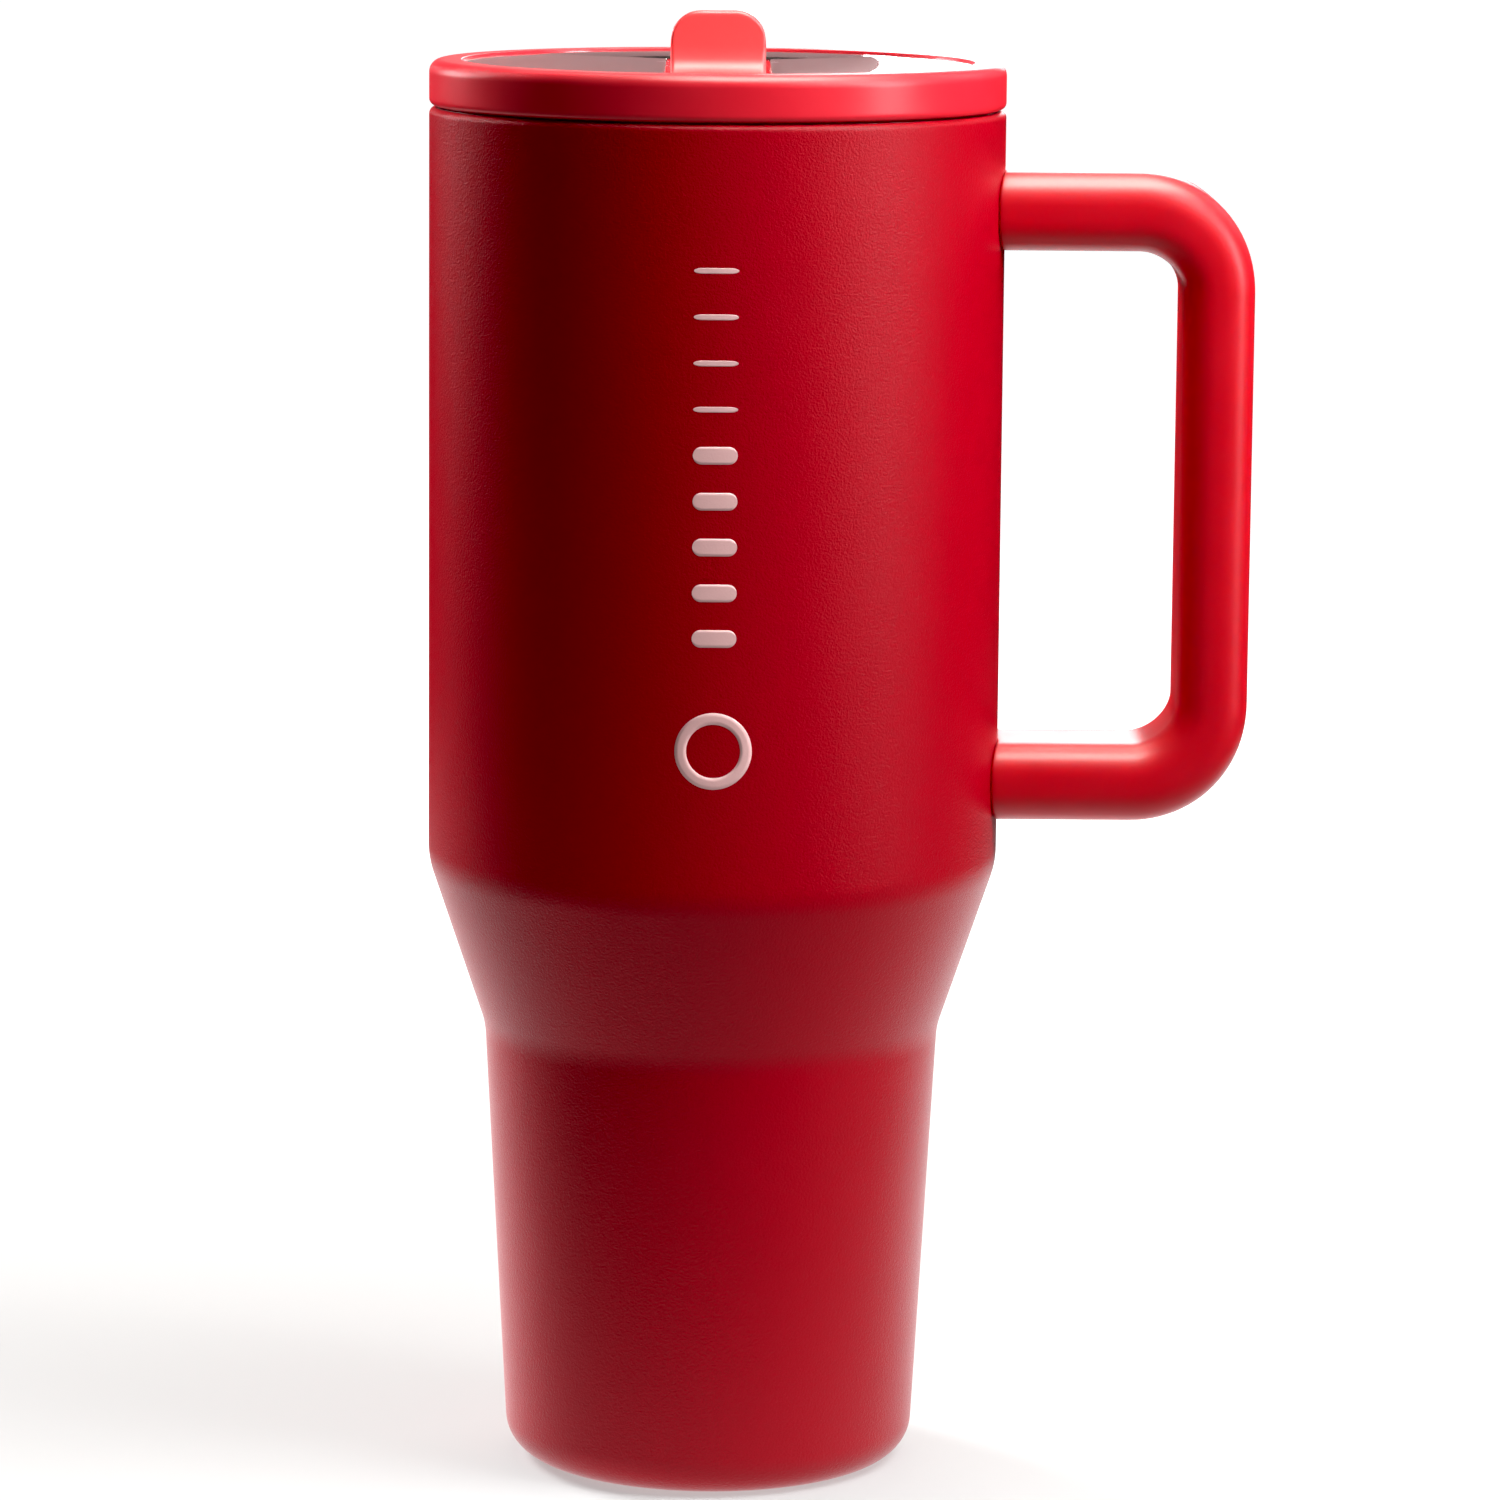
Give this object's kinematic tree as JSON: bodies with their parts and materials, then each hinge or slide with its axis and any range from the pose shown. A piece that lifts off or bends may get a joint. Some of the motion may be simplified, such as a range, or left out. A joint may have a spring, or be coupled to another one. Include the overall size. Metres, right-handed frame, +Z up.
{
  "type": "insulated travel mug",
  "caption": "Tall double-wall steel travel mug with tapered cup-holder base, D-shaped side handle and round lid with flip-up straw spout.",
  "frame": {"origin": "centre of the foot ring, on the surface the mug stands on", "axes": "+Z up along the cup's axis, +X towards the handle, -Y towards the tip of the closed spout"},
  "size_m": [0.145, 0.101, 0.2591],
  "materials": {
    "shell_coat": "deep red satin powder coat with a fine grain",
    "steel": "bare satin stainless steel",
    "seal_bead": "dull solder",
    "getter_metal": "grey sintered pellet",
    "handle_soft": "red soft-touch skin, satin",
    "handle_rigid": "dark red rigid plastic",
    "screw_steel": "stainless steel",
    "silicone": "milky translucent silicone",
    "lid_plastic": "bright red satin plastic",
    "clear_plastic": "clear plastic with a mauve-grey tint",
    "straw_plastic": "translucent red plastic",
    "spout_plastic": "bright coral red satin plastic"
  },
  "bodies": {
    "cup": {"outer_shell": "shell_coat", "base_pan": "steel", "vacuum_seal": "seal_bead", "getter": "getter_metal", "inner_liner": "steel", "handle_skin": "handle_soft", "handle_core": "handle_rigid", "upper_bracket": "steel", "lower_bracket": "steel", "handle_screws": "screw_steel", "screw_plugs": "handle_soft"},
    "gasket": {"lid_gasket": "silicone"},
    "lid": {"lid_ring": "lid_plastic", "lid_window": "clear_plastic", "window_seal": "silicone", "spout_pins": "screw_steel", "spout_seal": "silicone", "vent_valve": "silicone", "straw_socket": "silicone", "straw": "straw_plastic"},
    "spout": {"spout": "spout_plastic", "vent_plug": "silicone"}
  },
  "joints": [
    {"name": "lid_lift", "type": "slide", "parent": "cup", "child": "gasket", "axis": [0, 0, 1], "range_m": [0, 0.25]},
    {"name": "lid_turn", "type": "hinge", "parent": "gasket", "child": "lid", "pos_m": [0, 0, 0.2416], "axis": [0, 0, 1], "continuous": true},
    {"name": "spout_flip", "type": "hinge", "parent": "lid", "child": "spout", "pos_m": [0, 0.007, 0.244], "axis": [-1, 0, 0], "range_deg": [0, 90]}
  ]
}
